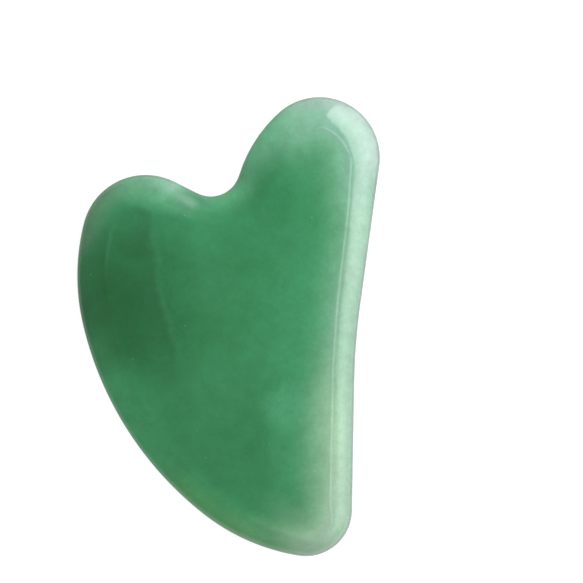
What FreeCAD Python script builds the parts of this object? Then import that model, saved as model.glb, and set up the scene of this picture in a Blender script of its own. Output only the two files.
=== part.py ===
"""Heart-shaped gua sha scraper: one piece of polished green stone, cut from a slab and ground by hand.

The piece lies on its back face. X runs across the width, Y along the length towards the tall lobe, and Z
through the thickness. The origin is on the back face, under the middle of the length and of the width.

The outline is a closed chain of tangent arcs and straight runs. Counter-clockwise from the right side they
are: tall lobe, neck, notch, slope, small lobe, flank, edge, heel, tip, lower run, waist and upper run. Both
faces are flat. A rounded shoulder joins them, wide on the left and at the lobes, narrow at the waist.
"""

import math
import os

import FreeCAD
import Part
import Sketcher
from FreeCAD import Vector

SIZES = {
    "overall_length": 84.0,
    "overall_width": 55.4,
    "thickness": 6.5,
    # radii, and how far a lobe stands back, as shares of the overall width
    "tall_lobe_share": 0.2,
    "notch_share": 0.097,
    "small_lobe_share": 0.211,
    "flank_share": 0.705,
    "tip_share": 0.153,
    "small_lobe_drop_share": 0.257,
    "tip_setback_share": 0.092,
    # height of the widest point of the flank above the tip's end, as a share of the overall length
    "flank_height_share": 0.611,
    "waist_radius": 121.0,
    # how many degrees an arc turns through
    "tall_lobe_span": 140.1,
    "neck_span": 30.7,
    "edge_span": 38.9,
    "heel_span": 29.2,
    "tip_span": 98.0,
    # how many degrees a straight run leans: the slope from level, the other two from upright
    "slope_lean": 26.6,
    "lower_run_lean": 1.0,
    "upper_run_lean": 7.8,
    # shoulder between girth and face: its mean width, and how far that sets the face off centre
    "shoulder": 4.4,
    "face_shift_x": 1.5,
    "face_shift_y": -1.0,
    # degrees the shoulder's round turns through on its way from the girth to a face
    "shoulder_turn": 65.0,
}

NODE = "scraper"

# The outline in order, each with its turn: 1 bulges out, -1 is hollow, 0 is straight.
OUTLINE = {
    "tall_lobe": 1,
    "neck": 1,
    "notch": -1,
    "slope": 0,
    "small_lobe": 1,
    "flank": 1,
    "edge": 1,
    "heel": 1,
    "tip": 1,
    "lower_run": 0,
    "waist": -1,
    "upper_run": 0,
}

RADII = {
    "tall_lobe": "sizes.tall_lobe_share * sizes.overall_width",
    "notch": "sizes.notch_share * sizes.overall_width",
    "small_lobe": "sizes.small_lobe_share * sizes.overall_width",
    "flank": "sizes.flank_share * sizes.overall_width",
    "tip": "sizes.tip_share * sizes.overall_width",
    "waist": "sizes.waist_radius",
}

CENTRES = {
    "tall_lobe": {
        "x": f"sizes.overall_width / 2 - {RADII['tall_lobe']}",
        "y": f"sizes.overall_length / 2 - {RADII['tall_lobe']}",
    },
    "small_lobe": {
        "y": (
            "sizes.overall_length / 2 - sizes.small_lobe_drop_share * sizes.overall_width"
            f" - {RADII['small_lobe']}"
        ),
    },
    "flank": {
        "x": f"{RADII['flank']} - sizes.overall_width / 2",
        "y": "(sizes.flank_height_share - 0.5) * sizes.overall_length",
    },
    "tip": {
        "x": f"(0.5 - sizes.tip_setback_share) * sizes.overall_width - {RADII['tip']}",
        "y": f"{RADII['tip']} - sizes.overall_length / 2",
    },
}

ANGLES = {
    "tall_lobe": "sizes.tall_lobe_span",
    "neck": "sizes.neck_span",
    "slope": "180 - sizes.slope_lean",
    "edge": "sizes.edge_span",
    "heel": "sizes.heel_span",
    "tip": "sizes.tip_span",
    "lower_run": "90 - sizes.lower_run_lean",
    "upper_run": "90 - sizes.upper_run_lean",
}

# Sections from the back face up, each by how much of the shoulder's turn separates it from the girth.
SECTIONS = {
    "back_face": "-1",
    "back_rim": "-2 / 3",
    "back_side": "-1 / 3",
    "girth": "0",
    "front_side": "1 / 3",
    "front_rim": "2 / 3",
    "front_face": "1",
}


def make_sheet(doc):
    """The spreadsheet that holds the driving sizes, each under its own alias."""
    sheet = doc.addObject("Spreadsheet::Sheet", "sizes")
    for row, (alias, value) in enumerate(SIZES.items(), start=1):
        sheet.set(f"A{row}", alias)
        sheet.set(f"B{row}", str(value))
        sheet.setAlias(f"B{row}", alias)
    doc.recompute()
    return sheet


def facing(degrees):
    """The unit vector at that angle from +X."""
    turn = math.radians(degrees)
    return Vector(math.cos(turn), math.sin(turn), 0)


def shares_of(first, second, total):
    """The two numbers by which two vectors are multiplied to add up to a third."""
    spread = first.x * second.y - first.y * second.x
    return (
        (total.x * second.y - total.y * second.x) / spread,
        (first.x * total.y - first.y * total.x) / spread,
    )


def solve_girth(sheet):
    """The girth's outline: signed radius and centre of each arc, and the outward normal at each start."""
    radius = {name: OUTLINE[name] * float(sheet.evalExpression(rule)) for name, rule in RADII.items()}
    centre = {
        name: Vector(*(float(sheet.evalExpression(rules.get(axis, "0"))) for axis in "xy"), 0)
        for name, rules in CENTRES.items()
    }
    rise = centre["small_lobe"].y - centre["flank"].y
    reach = math.sqrt((radius["flank"] - radius["small_lobe"]) ** 2 - rise**2)
    centre["small_lobe"].x = centre["flank"].x - reach

    start = {"tall_lobe": -sheet.upper_run_lean}
    start["neck"] = start["tall_lobe"] + sheet.tall_lobe_span
    start["notch"] = start["neck"] + sheet.neck_span
    start["slope"] = start["small_lobe"] = 90 - sheet.slope_lean
    start["flank"] = 180 - math.degrees(math.atan2(rise, reach))
    start["lower_run"] = start["waist"] = 360 - sheet.lower_run_lean
    start["tip"] = start["lower_run"] - sheet.tip_span
    start["heel"] = start["tip"] - sheet.heel_span
    start["edge"] = start["heel"] - sheet.edge_span
    start["upper_run"] = 360 - sheet.upper_run_lean
    normal = {name: facing(degrees) for name, degrees in start.items()}

    # long edge and heel: their chords together reach from the flank to the tip
    flank_end = centre["flank"] + normal["edge"] * radius["flank"]
    tip_start = centre["tip"] + normal["tip"] * radius["tip"]
    radius["edge"], radius["heel"] = shares_of(
        normal["heel"] - normal["edge"], normal["tip"] - normal["heel"], tip_start - flank_end
    )
    centre["edge"] = flank_end - normal["edge"] * radius["edge"]
    centre["heel"] = tip_start - normal["tip"] * radius["heel"]

    # neck and slope: the neck's radius and the slope's length together close the gap at the notch
    tall_end = centre["tall_lobe"] + normal["neck"] * radius["tall_lobe"]
    small_start = centre["small_lobe"] + normal["slope"] * radius["small_lobe"]
    notch_chord = (normal["slope"] - normal["notch"]) * radius["notch"]
    radius["neck"], _ = shares_of(
        normal["notch"] - normal["neck"],
        Vector(-normal["slope"].y, normal["slope"].x, 0),
        small_start - tall_end - notch_chord,
    )
    centre["neck"] = tall_end - normal["neck"] * radius["neck"]
    centre["notch"] = centre["neck"] + normal["notch"] * (radius["neck"] - radius["notch"])

    # waist: an arc that touches both right-hand runs
    below = normal["waist"].dot(centre["tip"]) + radius["tip"] - radius["waist"]
    above = normal["upper_run"].dot(centre["tall_lobe"]) + radius["tall_lobe"] - radius["waist"]
    centre["waist"] = Vector(
        *shares_of(
            Vector(normal["waist"].x, normal["upper_run"].x, 0),
            Vector(normal["waist"].y, normal["upper_run"].y, 0),
            Vector(below, above, 0),
        ),
        0,
    )
    return radius, centre, normal


def make_arc(centre, radius, first_normal, last_normal):
    """An arc for a sketch, which runs counter-clockwise, so that a hollow one is drawn backwards."""
    ends = (first_normal, last_normal) if radius > 0 else (last_normal * -1, first_normal * -1)
    angles = [math.atan2(end.y, end.x) for end in ends]
    return Part.ArcOfCircle(Part.Circle(centre, Vector(0, 0, 1), abs(radius)), angles[0], angles[1])


def add_driven(sketch, rule, *constraint):
    """Adds a constraint and binds its value to an expression of the sheet."""
    index = sketch.addConstraint(Sketcher.Constraint(*constraint))
    sketch.setExpression(f"Constraints[{index}]", rule)


def add_section(doc, body, sheet, girth, name):
    """A fully constrained sketch of the outline at one height, drawn in by its share of the shoulder."""
    turned = f"({SECTIONS[name]} * sizes.shoulder_turn * 1deg)"
    height_rule = f"(1 + sin{turned} / sin(sizes.shoulder_turn * 1deg)) / 2"
    left_rule = f"((1 - cos{turned}) / (1 - cos(sizes.shoulder_turn * 1deg)))"
    left = float(sheet.evalExpression(left_rule))
    shift = Vector(sheet.face_shift_x, sheet.face_shift_y, 0) * left
    radius = {arc: number - left * sheet.shoulder for arc, number in girth[0].items()}
    centre = {arc: point + shift for arc, point in girth[1].items()}
    normal = girth[2]

    sketch = body.newObject("Sketcher::SketchObject", name)
    base_plane = next(plane for plane in body.Origin.OriginFeatures if plane.Role == "XY_Plane")
    sketch.AttachmentSupport = (base_plane, [""])
    sketch.MapMode = "FlatFace"
    sketch.setExpression("AttachmentOffset.Base.z", f"{height_rule} * sizes.thickness * 1mm")

    names = list(OUTLINE)
    following = dict(zip(names, names[1:] + names[:1]))
    previous = {after: before for before, after in following.items()}
    for piece, turn in OUTLINE.items():
        if turn == 0:
            before, after = previous[piece], following[piece]
            sketch.addGeometry(
                Part.LineSegment(
                    centre[before] + normal[piece] * radius[before],
                    centre[after] + normal[piece] * radius[after],
                )
            )
        else:
            sketch.addGeometry(
                make_arc(centre[piece], radius[piece], normal[piece], normal[following[piece]])
            )

    # a sketch numbers the start of a line or arc 1 and its end 2, and hollow arcs run backwards
    for piece, turn in OUTLINE.items():
        after = following[piece]
        leaving = 1 if turn < 0 else 2
        arriving = 2 if OUTLINE[after] < 0 else 1
        sketch.addConstraint(
            Sketcher.Constraint("Tangent", names.index(piece), leaving, names.index(after), arriving)
        )
    for piece, rule in RADII.items():
        inward = "+" if OUTLINE[piece] < 0 else "-"
        add_driven(
            sketch, f"({rule} {inward} {left_rule} * sizes.shoulder) * 1mm",
            "Radius", names.index(piece), abs(radius[piece]),
        )
    for piece, rules in CENTRES.items():
        for axis, rule in rules.items():
            add_driven(
                sketch, f"({rule} + {left_rule} * sizes.face_shift_{axis}) * 1mm",
                f"Distance{axis.upper()}", -1, 1, names.index(piece), 3, getattr(centre[piece], axis),
            )
    for piece, rule in ANGLES.items():
        add_driven(
            sketch, f"({rule}) * 1deg",
            "Angle", names.index(piece), math.radians(float(sheet.evalExpression(rule))),
        )
    doc.recompute()
    if sketch.solve() != 0 or not sketch.FullyConstrained:
        raise RuntimeError(f"sketch {name} is not fully constrained")
    return sketch


def make_stone(doc, sheet):
    """The stone: a loft from the back face through the girth to the front face."""
    body = doc.addObject("PartDesign::Body", NODE)
    body.Label = NODE
    body.Placement = FreeCAD.Placement()
    girth = solve_girth(sheet)
    sketches = [add_section(doc, body, sheet, girth, name) for name in SECTIONS]
    loft = body.newObject("PartDesign::AdditiveLoft", "rounded_slab")
    loft.Profile = sketches[0]
    loft.Sections = sketches[1:]
    doc.recompute()
    return body


def check(doc):
    """Stops if an object failed or the stone is not one valid closed solid."""
    failed = [item.Name for item in doc.Objects if {"Invalid", "Error"} & set(item.State)]
    if failed:
        raise RuntimeError(f"objects failed: {failed}")
    for body in doc.findObjects("PartDesign::Body"):
        shape = body.Shape
        if shape.isNull() or not shape.isValid() or len(shape.Solids) != 1:
            raise RuntimeError(f"{body.Label} is not one valid solid")


def main():
    doc = FreeCAD.newDocument("gua_sha_scraper")
    sheet = make_sheet(doc)
    stone = make_stone(doc, sheet)
    check(doc)
    os.makedirs("parts", exist_ok=True)
    stone.Shape.exportStep(os.path.join("parts", f"{NODE}.step"))
    box = stone.Shape.BoundBox
    print(f"{NODE}: {box.XLength:.2f} x {box.YLength:.2f} x {box.ZLength:.2f} mm")
    print(f"{NODE}: {stone.Shape.Volume / 1000:.2f} cm3, {len(stone.Shape.Faces)} faces")


main()
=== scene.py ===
"""A polished green gua sha stone lying on a pale table under a large soft light at its upper right."""
import math

import bmesh
import bpy
import numpy as np
from mathutils import Matrix, Vector
from mathutils.geometry import delaunay_2d_cdt


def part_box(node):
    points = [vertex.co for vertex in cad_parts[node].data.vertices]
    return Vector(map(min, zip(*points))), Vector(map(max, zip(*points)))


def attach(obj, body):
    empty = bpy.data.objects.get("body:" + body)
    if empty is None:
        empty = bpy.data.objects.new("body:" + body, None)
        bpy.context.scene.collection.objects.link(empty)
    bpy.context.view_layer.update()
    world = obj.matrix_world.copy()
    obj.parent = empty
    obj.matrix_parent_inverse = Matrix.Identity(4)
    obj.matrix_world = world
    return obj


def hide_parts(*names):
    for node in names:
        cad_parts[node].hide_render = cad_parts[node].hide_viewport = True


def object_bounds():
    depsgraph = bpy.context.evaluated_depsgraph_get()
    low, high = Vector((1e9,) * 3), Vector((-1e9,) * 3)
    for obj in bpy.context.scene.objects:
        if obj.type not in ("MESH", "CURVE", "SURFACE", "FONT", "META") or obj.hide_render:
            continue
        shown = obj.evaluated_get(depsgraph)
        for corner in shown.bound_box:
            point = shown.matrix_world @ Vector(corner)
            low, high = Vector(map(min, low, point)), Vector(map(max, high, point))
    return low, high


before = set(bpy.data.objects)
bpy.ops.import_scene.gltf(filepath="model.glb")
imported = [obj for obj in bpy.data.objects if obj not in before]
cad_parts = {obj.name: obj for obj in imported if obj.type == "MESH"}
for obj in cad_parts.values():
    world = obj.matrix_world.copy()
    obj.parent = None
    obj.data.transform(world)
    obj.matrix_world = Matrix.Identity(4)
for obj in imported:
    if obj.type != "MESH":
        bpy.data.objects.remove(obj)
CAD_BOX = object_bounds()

MM = 0.001
NODE = "scraper"
LOW, HIGH = CAD_BOX
GIRTH = (LOW.z + HIGH.z) / 2
MIDDLE = Vector(((LOW.x + HIGH.x) / 2, (LOW.y + HIGH.y) / 2, GIRTH))
LENGTH = HIGH.y - LOW.y
UNIT = LENGTH / 84  # a millimetre on a stone 84 mm long: patterns and lights grow with the stone

# ---------------------------------------------------------------- the stone's shape

STATIONS = 540  # points round the outline
OUTLINE_SMOOTHING = 0.9 * MM
WIDTH_SMOOTHING = 4  # stations
SHOULDER_TURN = math.radians(65)  # how far the shoulder's round turns between girth and face
SHOULDER_ROWS = 15
ROW_SPACING = 0.9  # under 1 puts the rows a little closer near the face
CREASE_SOFTNESS = 0.55 * MM  # half the width of the rounding where the shoulder meets the face
LOBE_WIDENING = 3.0 * MM  # the shoulder of the tall lobe is ground wider on its right side
LOBE_GROWTH = (0.43, 0.98)  # where that widening starts and is full, as shares of the length from the tip
RUN_WIDENING = 1.1 * MM  # and so, a little, is the long right edge below it
RUN_GROWTH = (0.01, 0.12)
RUN_DECLINE = (0.55, 0.78)  # where that one starts to narrow again and is gone
CROWN = 0.10 * MM  # hand polishing leaves the face slightly crowned towards its rim
CROWN_REACH = 5 * MM
GRID_PITCH = 1.1 * MM  # between the points inside a face
GRID_MARGIN = 0.7 * MM  # from those points to the crease


def cad_rim(node):
    """The girth's outline of the CAD solid, as ordered points, and the box of its flat front face."""
    low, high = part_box(NODE)
    middle = (low.z + high.z) / 2
    bm = bmesh.new()
    bm.from_mesh(node.data)
    bmesh.ops.remove_doubles(bm, verts=bm.verts, dist=1e-6)
    face = np.array([v.co[:2] for v in bm.verts if v.co.z > high.z - 1e-6])
    bmesh.ops.bisect_plane(
        bm,
        geom=bm.verts[:] + bm.edges[:] + bm.faces[:],
        dist=1e-9,
        plane_co=(0, 0, middle + 1e-6),
        plane_no=(0, 0, 1),
        clear_inner=True,
        clear_outer=True,
    )
    bm.verts.ensure_lookup_table()
    start = here = bm.verts[0]
    before, points = None, []
    while True:
        points.append(here.co[:2])
        ahead = [e.other_vert(here) for e in here.link_edges if e.other_vert(here) is not before]
        before, here = here, ahead[0]
        if here is start:
            break
    bm.free()
    return np.array(points), face.min(0), face.max(0)


def resampled(points, count):
    """The same closed line with evenly spaced points, counter-clockwise, and their spacing."""
    x, y = points.T
    if np.sum(x * np.roll(y, -1) - y * np.roll(x, -1)) < 0:
        points = points[::-1]
    closed = np.vstack([points, points[:1]])
    along = np.concatenate([[0], np.cumsum(np.linalg.norm(np.diff(closed, axis=0), axis=1))])
    at = np.linspace(0, along[-1], count, endpoint=False)
    return np.stack([np.interp(at, along, closed[:, k]) for k in (0, 1)], axis=1), along[-1] / count


def smoothed(values, sigma):
    """A periodic Gaussian blur that gives back most of the bulge it takes away."""
    reach = int(4 * sigma) + 1
    weights = np.exp(-0.5 * (np.arange(-reach, reach + 1) / sigma) ** 2)
    weights /= weights.sum()

    def blur(array):
        return sum(w * np.roll(array, k, axis=0) for k, w in zip(range(-reach, reach + 1), weights))

    once = blur(values)
    return 2 * once - blur(once)


def normals_of(outline):
    """Outward unit normals of a counter-clockwise closed line."""
    ahead = np.roll(outline, -1, axis=0) - np.roll(outline, 1, axis=0)
    normal = np.stack([ahead[:, 1], -ahead[:, 0]], axis=1)
    return normal / np.linalg.norm(normal, axis=1, keepdims=True)


def ease(x, start, end):
    """0 before start, 1 after end, and smooth between them."""
    t = np.clip((x - start) / (end - start), 0, 1)
    return t * t * (3 - 2 * t)


def shoulder_width(outline, normal, face_low, face_high):
    """How far in from the rim the flat face starts at each station."""
    low, high = np.array(LOW[:2]), np.array(HIGH[:2])
    left_gap, right_gap = face_low - low, high - face_high
    width = ((left_gap + right_gap) / 2).mean() - normal @ ((left_gap - right_gap) / 2)
    rise = (outline[:, 1] - low[1]) / (high[1] - low[1])
    rightness = np.clip(normal[:, 0], 0.1, 1) * (outline[:, 0] > 0)
    width += LOBE_WIDENING * ease(rise, *LOBE_GROWTH) * rightness
    width += RUN_WIDENING * ease(rise, *RUN_GROWTH) * (1 - ease(rise, *RUN_DECLINE)) * rightness
    return smoothed(width, WIDTH_SMOOTHING)


def shoulder_profile(width, half, crown):
    """Rows from girth to face: how far in each lies and how high, with one column per station."""
    turn = np.linspace(0, 1, SHOULDER_ROWS)[:, None] ** ROW_SPACING * SHOULDER_TURN
    fall = 1 - math.cos(SHOULDER_TURN)
    inset = (1 - np.cos(turn)) / fall * (width - CREASE_SOFTNESS)[None, :]
    share = inset / width[None, :] * fall
    round_height = np.sqrt(np.clip(1 - (1 - share) ** 2, 0, 1)) / math.sin(SHOULDER_TURN)
    height = round_height * (half - crown)
    # the crease: a parabola from the round's own slope to the face's
    edge_slope = (height[-1] - height[-2]) / (inset[-1] - inset[-2])
    rows_in, rows_up = [inset], [height]
    for t in (0.2, 0.4, 0.6, 0.8, 1.0):
        run = t * 2 * CREASE_SOFTNESS
        rows_in.append((inset[-1] + run)[None, :])
        rows_up.append((height[-1] + edge_slope * (run - run * t / 2))[None, :])
    inset, height = np.vstack(rows_in), np.vstack(rows_up)
    height *= (half - crown) / height[-1]
    return inset, height


def points_inside(loop):
    """Staggered grid points inside a closed line, and how far each is from it."""
    xs = np.arange(LOW.x, HIGH.x, GRID_PITCH)
    ys = np.arange(LOW.y, HIGH.y, GRID_PITCH)
    grid = np.array([(x + (j % 2) * GRID_PITCH / 2, y) for j, y in enumerate(ys) for x in xs])
    distance = np.linalg.norm(grid[:, None, :] - loop[None, :, :], axis=2).min(1)
    x0, y0 = loop.T
    x1, y1 = np.roll(loop, -1, axis=0).T
    x, y = grid[:, :1], grid[:, 1:]
    crossing = ((y0 > y) != (y1 > y)) & (x < (x1 - x0) * (y - y0) / (y1 - y0 + 1e-15) + x0)
    inside = (crossing.sum(1) % 2 == 1) & (distance > GRID_MARGIN)
    return grid[inside], distance[inside]


def stone_mesh(name):
    """The stone as one closed smooth mesh. Its rim_mm is how far in from the rim each vertex is, in UNITs."""
    raw, face_low, face_high = cad_rim(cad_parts[NODE])
    outline, spacing = resampled(raw, STATIONS)
    outline = smoothed(outline, OUTLINE_SMOOTHING / spacing)
    normal = normals_of(outline)
    width = shoulder_width(outline, normal, face_low, face_high)
    half = (HIGH.z - LOW.z) / 2

    verts, faces, rim = [], [], []
    for side, crown in ((1, CROWN), (-1, 0.0)):
        inset, height = shoulder_profile(width, half, crown)
        rings = []
        for row in range(len(inset)):
            if side < 0 and row == 0:
                rings.append(0)  # the two sides share the girth
                continue
            ring = outline - normal * inset[row][:, None]
            rings.append(len(verts))
            verts += [(x, y, GIRTH + side * z) for (x, y), z in zip(ring, height[row])]
            rim += list(inset[row] / UNIT)
        for lower, upper in zip(rings, rings[1:]):
            for k in range(STATIONS):
                after = (k + 1) % STATIONS
                quad = (lower + k, lower + after, upper + after, upper + k)
                faces.append(quad if side > 0 else quad[::-1])

        crease_highlight = outline - normal * inset[-1][:, None]
        inner, from_crease = points_inside(crease_highlight)
        from_rim = np.linalg.norm(inner[:, None, :] - outline[None, ::2, :], axis=2).min(1)
        points = [Vector(p) for p in crease_highlight] + [Vector(p) for p in inner]
        edges = [(k, (k + 1) % STATIONS) for k in range(STATIONS)]
        filled = delaunay_2d_cdt(points, edges, [], 1, 1e-7)
        base = len(verts)
        for (x, y), distance in zip(inner, from_crease):
            verts.append((x, y, GIRTH + side * (half - crown * math.exp(-distance / CROWN_REACH))))
        rim += list(from_rim / UNIT)
        for triangle in filled[2]:
            ids = [filled[3][v][0] for v in triangle]
            ids = [rings[-1] + v if v < STATIONS else base + v - STATIONS for v in ids]
            faces.append(ids if side > 0 else ids[::-1])

    mesh = bpy.data.meshes.new(name)
    mesh.from_pydata(verts, [], faces)
    mesh.validate()
    distance = mesh.attributes.new("rim_mm", "FLOAT", "POINT")
    distance.data.foreach_set("value", rim)
    for polygon in mesh.polygons:
        polygon.use_smooth = True
    mesh.update()
    return mesh


# ---------------------------------------------------------------- the stone's material

KEY = 1.115  # how brightly the lights show a matt white sheet
VEIL = 0.023  # what the polish reflects from the plain studio above
DARKEST = 0.004

# Cloudy zones of the stone: centre and radii in UNITs from the stone's middle, softness, turn in degrees,
# strength and colour.
ZONES = (
    ((-18.0, 5.0), (11.0, 15.5), 0.45, -8, 0.80, (51, 121, 76)),  # the dark left side
    ((-22.0, 1.5), (7.5, 9.5), 0.40, 8, 0.85, (47, 110, 64)),  # and its darkest part
    ((-17.0, 17.0), (3.2, 5.0), 0.30, 0, 0.70, (50, 114, 70)),  # its top, beside the crack
    ((9.0, 30.0), (6.0, 6.0), 0.70, 0, 0.60, (60, 138, 94)),  # the tall lobe's middle
    ((-8.0, 20.0), (15.0, 4.5), 0.80, -8, 0.70, (68, 148, 104)),  # below the small lobe and notch
    ((14.0, 0.0), (6.0, 26.0), 0.80, -4, 0.65, (74, 154, 108)),  # along the right side
    ((18.0, -25.0), (7.0, 12.0), 0.80, 0, 0.60, (92, 168, 124)),  # the lower right
    ((12.0, -15.0), (5.5, 3.5), 0.60, 0, 0.60, (92, 168, 126)),  # a pale cloud above it
    ((-17.0, -14.0), (8.0, 5.0), 0.60, -40, 0.60, (66, 148, 100)),  # the lower left
)

# Pale rims, partly painted light: the glow of the softbox's light through the thin shoulder, strongest on the
# lit right side, the tip and the lobes' tops, with greyer tints on the shoulders set against the light and
# reflection there; partly the stone's own milky, darker and brownish patches. How far in from the rim each
# starts and is full, then as above.
RIM_TINTS_AND_PAINTED_GLOW = (
    (7.5, 0.3, (-12, -27), (28, 20), 0.4, -48, 0.85, (86, 182, 122)),  # the left edge
    (6.0, 0.3, (-27, 14), (10, 10), 0.4, 0, 0.50, (68, 150, 100)),  # the top of its bulge
    (6.0, 0.3, (-2, -36), (12, 7), 0.5, -34, 0.80, (104, 176, 114)),  # towards the tip
    (6.5, 0.3, (11, -39), (10, 7), 0.5, -16, 0.75, (124, 186, 136)),
    (11.5, 0.3, (28, 4), (15, 26), 0.4, 0, 0.90, (142, 190, 162)),  # the right edge
    (12.0, 0.3, (24, -25), (15, 19), 0.4, 0, 1.00, (172, 206, 174)),  # its lower half
    (11.0, 0.3, (24, -40), (11, 11), 0.5, 0, 0.85, (182, 214, 186)),  # the tip
    (9.5, 0.3, (18, 43), (16, 14), 0.5, 0, 0.85, (152, 204, 176)),  # the tall lobe's top
    (16.0, 0.3, (22, 33), (9, 10), 0.6, 0, 1.00, (148, 200, 172)),  # its right
    (5.2, 0.3, (4, 30), (7, 13), 0.5, -25, 0.85, (112, 184, 142)),  # the notch's right wall
    (6.0, 0.3, (-16, 28), (11, 6), 0.4, -20, 0.85, (146, 186, 166)),  # the small lobe's top
    (9.0, 4.0, (-12.0, 22.8), (6.0, 2.4), 0.5, -12, 0.55, (106, 178, 136)),  # a pale streak under it
    (9.0, 2.0, (-6.8, 22.6), (3.2, 2.2), 0.6, -20, 0.75, (72, 138, 100)),  # darker beside the notch
    (7.0, 0.3, (-22, 24), (7, 6), 0.6, 10, 0.60, (90, 170, 122)),  # the small lobe's left
    (5.0, 0.3, (-25, 20), (5, 8), 0.5, -35, 0.70, (116, 156, 124)),  # a brownish patch there
    (5.4, 3.8, (32, 10), (20, 30), 0.3, 0, 0.90, (138, 176, 152)),  # the right shoulder, its upper part
    (5.4, 3.8, (31, -34), (19, 17), 0.4, 0, 0.90, (166, 196, 172)),  # its lower part
    (2.4, 0.8, (32, 2), (20, 46), 0.3, 0, 0.80, (146, 176, 158)),  # its outer part
    (7.6, 6.0, (28, 36), (13, 13), 0.3, 0, 0.70, (128, 166, 150)),  # the tall lobe's shoulder
    (4.4, 0.3, (28, 38), (15, 10), 0.3, 0, 0.80, (160, 176, 170)),
)
EDGE_SHADE = (0.8, 0.55)  # painted shade: the last stretch before the rim, and the share of its colour left at the rim
MOTTLING = ((7.0, 11.0, 0.05), (1.8, 12.0, 0.055), (0.6, 13.0, 0.055))  # size, seed, spread

CRACK_MIDDLE = (-11.5, 8.0)
CRACK_REACH = (9.0, 15.0)
CRACK_SLANT = 0.17  # how far it leans left for each UNIT up
CRACK_OFFSET = 10.9  # how far left of the stone's middle it crosses
CRACK_SHADE = 0.12  # how much darker the stone is on its left
CREASE_HIGHLIGHT = 5.6  # in from the rim, where the left crease catches the light: a painted highlight
VEIN_AND_HIGHLIGHT_COLOUR = (120, 200, 150)

# pale specks of mica, partly painted glints
MICA_SPACING = 1.9
MICA_GLINT_STRENGTH = 0.25
MICA_GLINT_COLOUR = (170, 205, 180)


def linear(red, green, blue):
    """The colour of a stone that looks like this display colour of 0 to 255 under these lights."""

    def one(value):
        value /= 255
        value = value / 12.92 if value <= 0.04045 else ((value + 0.055) / 1.055) ** 2.4
        return max(DARKEST, (value - VEIL) / KEY)

    return (one(red), one(green), one(blue), 1.0)


class Nodes:
    """Short names for the shader nodes that the stone uses. Lengths are in UNITs from the stone's middle."""

    def __init__(self, material):
        material.use_nodes = True
        self.tree = material.node_tree
        self.tree.nodes.clear()
        self.place = self.scale(self.add("ShaderNodeTexCoord").outputs["Object"], 1 / UNIT)
        self.rim = self.add("ShaderNodeAttribute", attribute_name="rim_mm").outputs["Fac"]
        self.wander = self.sway(9.0, 2.0, 1.3)
        self.bent = self.math_vector("ADD", self.place, self.scale(self.wander, 6.0))

    def add(self, kind, **settings):
        node = self.tree.nodes.new(kind)
        for key, value in settings.items():
            setattr(node, key, value)
        return node

    def link(self, output, socket):
        self.tree.links.new(output, socket)

    def feed(self, node, index, value):
        socket = node.inputs[index]
        if hasattr(value, "is_output"):
            self.link(value, socket)
        else:
            socket.default_value = value

    def math(self, operation, *values):
        node = self.add("ShaderNodeMath", operation=operation)
        for index, value in enumerate(values):
            self.feed(node, index, value)
        return node.outputs[0]

    def product(self, *values):
        result = values[0]
        for value in values[1:]:
            result = self.math("MULTIPLY", result, value)
        return result

    def math_vector(self, operation, first, second):
        node = self.add("ShaderNodeVectorMath", operation=operation)
        self.feed(node, 0, first)
        self.feed(node, 1, second)
        return node.outputs[0]

    def scale(self, vector, factor):
        node = self.add("ShaderNodeVectorMath", operation="SCALE")
        self.feed(node, 0, vector)
        self.feed(node, "Scale", factor)
        return node.outputs[0]

    def split(self, vector):
        node = self.add("ShaderNodeSeparateXYZ")
        self.link(vector, node.inputs[0])
        return node.outputs

    def noise(self, size, detail, rough=0.5, seed=0.0, vector=None, output="Fac"):
        node = self.add("ShaderNodeTexNoise", noise_dimensions="4D")
        self.feed(node, "Vector", vector if vector is not None else self.place)
        self.feed(node, "W", seed)
        self.feed(node, "Scale", 1 / size)
        self.feed(node, "Detail", detail)
        self.feed(node, "Roughness", rough)
        return node.outputs[output]

    def sway(self, size, detail, seed, rough=0.5):
        """A vector that wanders about zero, to bend outlines with."""
        cloud = self.noise(size, detail, rough, seed=seed, output="Color")
        return self.math_vector("SUBTRACT", cloud, (0.5, 0.5, 0.5))

    def ramp(self, value, start, end, low=0.0, high=1.0):
        """From low at start to high at end, smoothly."""
        node = self.add("ShaderNodeMapRange", interpolation_type="SMOOTHSTEP")
        for index, number in enumerate((value, start, end, low, high)):
            self.feed(node, index, number)
        return node.outputs[0]

    def band(self, value, centre, half_width):
        """1 where the value is at the centre, and 0 from half_width away."""
        return self.ramp(self.math("ABSOLUTE", self.math("SUBTRACT", value, centre)), half_width, 0.0)

    def patch(self, vector, centre, radii, soft, turn=0.0):
        """1 inside an ellipse seen from above, turned by so many degrees, and 0 outside it."""
        spin = self.add("ShaderNodeMapping")
        self.link(self.math_vector("SUBTRACT", vector, (*centre, 0)), spin.inputs["Vector"])
        spin.inputs["Rotation"].default_value = (0, 0, -math.radians(turn))
        length = self.add("ShaderNodeVectorMath", operation="LENGTH")
        self.link(self.math_vector("DIVIDE", spin.outputs[0], (*radii, 60)), length.inputs[0])
        return self.ramp(length.outputs["Value"], 1 - soft, 1 + soft, 1.0, 0.0)

    def blend(self, factor, first, second):
        node = self.add("ShaderNodeMix", data_type="RGBA", blend_type="MIX", clamp_factor=True)
        self.feed(node, 0, factor)
        self.feed(node, 6, first)
        self.feed(node, 7, second)
        return node.outputs[2]


def cloudy(n):
    """The stone's body: two greens in clouds, with darker and paler zones."""
    clouds = n.ramp(n.noise(14.0, 3.0, seed=4.0), 0.35, 0.65)
    colour = n.blend(clouds, linear(60, 133, 86), linear(66, 142, 95))
    for centre, radii, soft, turn, strength, tint in ZONES:
        where = n.product(n.patch(n.bent, centre, radii, soft, turn), strength)
        colour = n.blend(where, colour, linear(*tint))
    return colour


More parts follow.
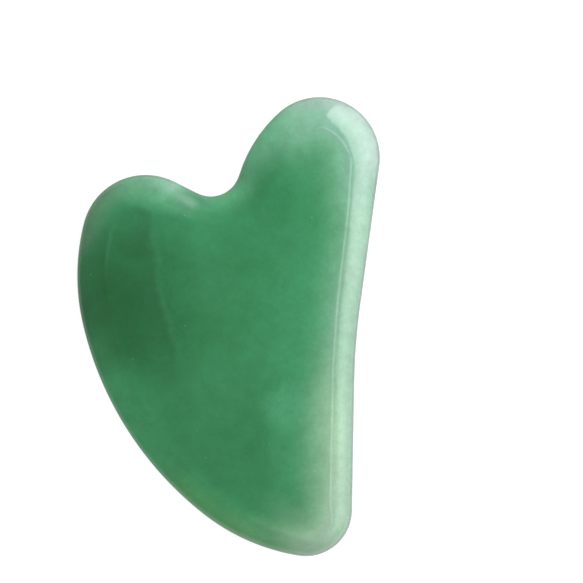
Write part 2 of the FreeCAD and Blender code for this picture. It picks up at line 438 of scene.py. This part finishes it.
def milky_rims_and_painted_glow(n, colour):
    """Pale rims, partly painted glow of light through the thin shoulder on its lit side and partly the
    stone's own milky patches, and a painted shaded edge.
    """
    haze = n.ramp(n.noise(5.0, 3.0, seed=7.0), 0.2, 0.7, 0.78, 1.0)
    # each tint is partly painted glow of light through the rim, partly the stone's own colour
    for reach, full, centre, radii, soft, turn, strength, tint in RIM_TINTS_AND_PAINTED_GLOW:
        patch = n.patch(n.bent, centre, radii, soft, turn)
        colour = n.blend(n.product(patch, n.ramp(n.rim, reach, full), haze, strength), colour, linear(*tint))
    stretch, share = EDGE_SHADE
    return n.scale(colour, n.ramp(n.rim, stretch, 0.0, 1.0, share))


def mottled(n, colour):
    for size, seed, spread in MOTTLING:
        speckle = n.noise(size, 3.0, 0.6, seed=seed, vector=n.bent)
        colour = n.scale(colour, n.ramp(speckle, 0.25, 0.75, 1 - spread, 1 + spread))
    return colour


def veined(n, colour):
    """One long healed crack with darker stone on its left, and a thin pale painted highlight at the left
    crease.
    """
    frayed = n.math_vector("ADD", n.scale(n.wander, 5.5), n.scale(n.sway(2.5, 3.0, 46.0, 0.6), 1.6))
    at = n.split(n.math_vector("ADD", n.place, frayed))
    aside = n.math("ADD", n.math("ADD", n.product(at["Y"], CRACK_SLANT), at["X"]), CRACK_OFFSET)
    along = n.patch(n.place, CRACK_MIDDLE, CRACK_REACH, 0.4)
    left = n.product(n.ramp(aside, 0.4, -0.5), n.ramp(aside, -7.0, -1.0))
    colour = n.scale(colour, n.math("SUBTRACT", 1.0, n.product(left, along, CRACK_SHADE)))

    strength = n.ramp(n.noise(2.2, 2.0, seed=44.0), 0.3, 0.75, 0.02, 0.09)
    crack = n.product(n.band(aside, 0.0, 1.3), along, strength)
    # a painted highlight: the pale line where the left crease reflects the light
    crease_highlight = n.product(n.band(n.rim, CREASE_HIGHLIGHT, 0.6), 0.10, n.patch(n.bent, (-22.5, 15), (4, 5), 0.5, -15))
    return n.blend(n.math("MAXIMUM", crack, crease_highlight), colour, linear(*VEIN_AND_HIGHLIGHT_COLOUR))


def glinting(n, colour):
    """A few tiny flakes of mica, painted as pale specks: partly their own colour, partly painted glints."""
    cells = n.add("ShaderNodeTexVoronoi", voronoi_dimensions="3D")
    n.link(n.place, cells.inputs["Vector"])
    cells.inputs["Scale"].default_value = 1 / MICA_SPACING
    chosen = n.ramp(n.split(cells.outputs["Color"])["X"], 0.80, 0.90)
    flake = n.ramp(cells.outputs["Distance"], 0.10, 0.03)
    return n.blend(n.product(flake, chosen, MICA_GLINT_STRENGTH), colour, linear(*MICA_GLINT_COLOUR))


def stone_material():
    """Green aventurine: cloudy, slightly translucent and polished, with pale rims partly painted as the glow
    of light through the thin shoulder, and fine painted glints on mica flakes.
    """
    material = bpy.data.materials.new("green_aventurine")
    n = Nodes(material)
    shader = n.add("ShaderNodeBsdfPrincipled")
    n.link(glinting(n, veined(n, mottled(n, milky_rims_and_painted_glow(n, cloudy(n))))), shader.inputs["Base Color"])

    polish = n.ramp(n.noise(4.0, 4.0, seed=21.0), 0.3, 0.7, 0.06, 0.11)
    worn = n.product(n.patch(n.place, (-8, 25), (13, 8), 0.3, -24), 0.14)  # the small lobe is a little duller
    n.link(n.math("ADD", polish, worn), shader.inputs["Roughness"])
    shader.inputs["IOR"].default_value = 1.54
    shader.inputs["Subsurface Weight"].default_value = 0.6
    shader.inputs["Subsurface Radius"].default_value = (0.7, 1.0, 0.8)
    shader.inputs["Subsurface Scale"].default_value = 2.0 * MM

    swell = n.math("ADD", n.noise(6.0, 2.0, seed=31.0), n.product(n.noise(0.5, 2.0, seed=32.0), 0.03))
    bump = n.add("ShaderNodeBump")
    bump.inputs["Strength"].default_value = 0.25
    bump.inputs["Distance"].default_value = 0.05 * MM
    n.link(swell, bump.inputs["Height"])
    n.link(bump.outputs[0], shader.inputs["Normal"])
    out = n.add("ShaderNodeOutputMaterial")
    n.link(shader.outputs[0], out.inputs["Surface"])
    return material


stone = bpy.data.objects.new("stone", stone_mesh("stone"))
bpy.context.scene.collection.objects.link(stone)
stone.data.materials.append(stone_material())
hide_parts(NODE)
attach(stone, "root")

# ---------------------------------------------------------------- the table

TABLE_REACH = 20 * LENGTH
TABLE_GAP = 0.05 * MM  # keeps the table's surface clear of the stone's back


def table_material():
    """White and glowing like a light table, so that the stone's shadow stays faint."""
    material = bpy.data.materials.new("table_white")
    material.use_nodes = True
    surface = material.node_tree.nodes["Principled BSDF"]
    surface.inputs["Base Color"].default_value = (0.2, 0.2, 0.2, 1)
    surface.inputs["Roughness"].default_value = 0.9
    surface.inputs["Specular IOR Level"].default_value = 0.0
    surface.inputs["Emission Color"].default_value = (1, 1, 1, 1)
    surface.inputs["Emission Strength"].default_value = 0.92
    return material


corners = [(x * TABLE_REACH, y * TABLE_REACH, 0) for x, y in ((-1, -1), (1, -1), (1, 1), (-1, 1))]
table_mesh = bpy.data.meshes.new("table")
table_mesh.from_pydata(corners, [], [(0, 1, 2, 3)])
table = bpy.data.objects.new("table", table_mesh)
table.location.z = LOW.z - TABLE_GAP
table.data.materials.append(table_material())
bpy.context.scene.collection.objects.link(table)

# ---------------------------------------------------------------- lights


def dimmed(tree, brightness, edges):
    """The strength of an area light that dims towards its edges.

    Each edge is (axis, where the edge is, where the dimming ends, share left at the edge), with places
    given from 0 to 1 over the light.
    """
    place = tree.nodes.new("ShaderNodeNewGeometry")
    split = tree.nodes.new("ShaderNodeSeparateXYZ")
    tree.links.new(place.outputs["Parametric"], split.inputs[0])
    glow = None
    for axis, start, end, share in edges:
        grade = tree.nodes.new("ShaderNodeMapRange")
        grade.interpolation_type = "SMOOTHSTEP"
        tree.links.new(split.outputs[axis], grade.inputs["Value"])
        grade.inputs["From Min"].default_value = start
        grade.inputs["From Max"].default_value = end
        grade.inputs["To Min"].default_value = share
        product = tree.nodes.new("ShaderNodeMath")
        product.operation = "MULTIPLY"
        tree.links.new(grade.outputs[0], product.inputs[0])
        if glow is None:
            product.inputs[1].default_value = brightness
        else:
            tree.links.new(glow, product.inputs[1])
        glow = product.outputs[0]
    return glow


def soft_light(name, left, right, lean, height, brightness, top=(1.0, 0.01), foot=(1.0, 0.01), tail=0.01):
    """A rectangular light whose lower edge runs between two points, leaning over the stone by lean degrees.

    Lengths are in UNITs from the stone's middle. The light dims towards its top edge and its foot: each is
    the share left at the edge, and the share of the height over which it dims. It fades out at its right
    end over the share tail of its length.
    """
    left, right = Vector(left) * UNIT, Vector(right) * UNIT
    across = (right - left).normalized()
    inward = Vector((0, 0, 1)).cross(across)
    if inward.dot(left) > 0:
        inward.negate()
    tilt = math.radians(lean)
    upward = Vector((0, 0, math.cos(tilt))) + inward * math.sin(tilt)
    if across.cross(upward).dot(left) < 0:
        across.negate()

    data = bpy.data.lights.new(name, "AREA")
    data.shape = "RECTANGLE"
    data.size, data.size_y = (right - left).length, height * UNIT
    data.energy = math.pi * data.size * data.size_y  # keeps the brightness the same at any size
    data.use_nodes = True
    edges = (("Y", 1.0, 1.0 - top[1], top[0]), ("Y", 0.0, foot[1], foot[0]), ("X", 0.0, tail, 0.0))
    glow = dimmed(data.node_tree, brightness, edges)
    data.node_tree.links.new(glow, data.node_tree.nodes["Emission"].inputs["Strength"])

    light = bpy.data.objects.new(name, data)
    matrix = Matrix((across, upward, across.cross(upward))).transposed().to_4x4()
    matrix.translation = (left + right) / 2 + upward * data.size_y / 2 + Vector((0, 0, GIRTH))
    light.matrix_world = matrix
    light.visible_camera = False
    bpy.context.scene.collection.objects.link(light)


# The softbox stands to the right of the stone and a little above it in the picture.
SOFTBOX_AZIMUTH = math.radians(28)
SOFTBOX_DISTANCE = 137
TOWARDS = Vector((math.cos(SOFTBOX_AZIMUTH), math.sin(SOFTBOX_AZIMUTH), 0))
ALONG = Vector((-TOWARDS.y, TOWARDS.x, 0))
soft_light(
    "softbox",
    TOWARDS * SOFTBOX_DISTANCE + ALONG * 115,
    TOWARDS * SOFTBOX_DISTANCE - ALONG * 190,
    lean=11,
    height=157,
    brightness=5.9,
    top=(0.6, 0.35),
    foot=(0.2, 0.7),
    tail=0.7,
)

# Two narrow lights hang over the right side. The crease there reflects them as a thin bright line.
STRIP_HEIGHT = 150
LEVEL = -89.9  # degrees: leaning back until they lie almost flat
soft_light("strip_side", (52, -70, STRIP_HEIGHT), (52, 45, STRIP_HEIGHT), LEVEL, height=24, brightness=2.1)
soft_light("strip_top", (58, 48, STRIP_HEIGHT), (14, 66, STRIP_HEIGHT), LEVEL, height=20, brightness=2.4)

world = bpy.data.worlds.new("studio")
world.use_nodes = True
world.node_tree.nodes["Background"].inputs["Color"].default_value = (0.49, 0.51, 0.50, 1)
world.node_tree.nodes["Background"].inputs["Strength"].default_value = 1.0
bpy.context.scene.world = world

# ---------------------------------------------------------------- camera

PICTURE_SHARE = 1.2695  # the picture is square and shows this many lengths of the stone
ASIDE = (0.1079, 0.0601)  # the stone lies left of the picture's middle and below it, in picture widths

camera_data = bpy.data.cameras.new("camera")
camera_data.lens = 120
camera_data.sensor_width = 36
camera_data.clip_start = 0.01
camera_data.clip_end = 10
camera = bpy.data.objects.new("camera", camera_data)
away = Vector((*ASIDE, camera_data.lens / camera_data.sensor_width))
camera.location = MIDDLE + away * PICTURE_SHARE * LENGTH
bpy.context.scene.collection.objects.link(camera)
bpy.context.scene.camera = camera
bpy.context.scene.view_settings.view_transform = "Standard"
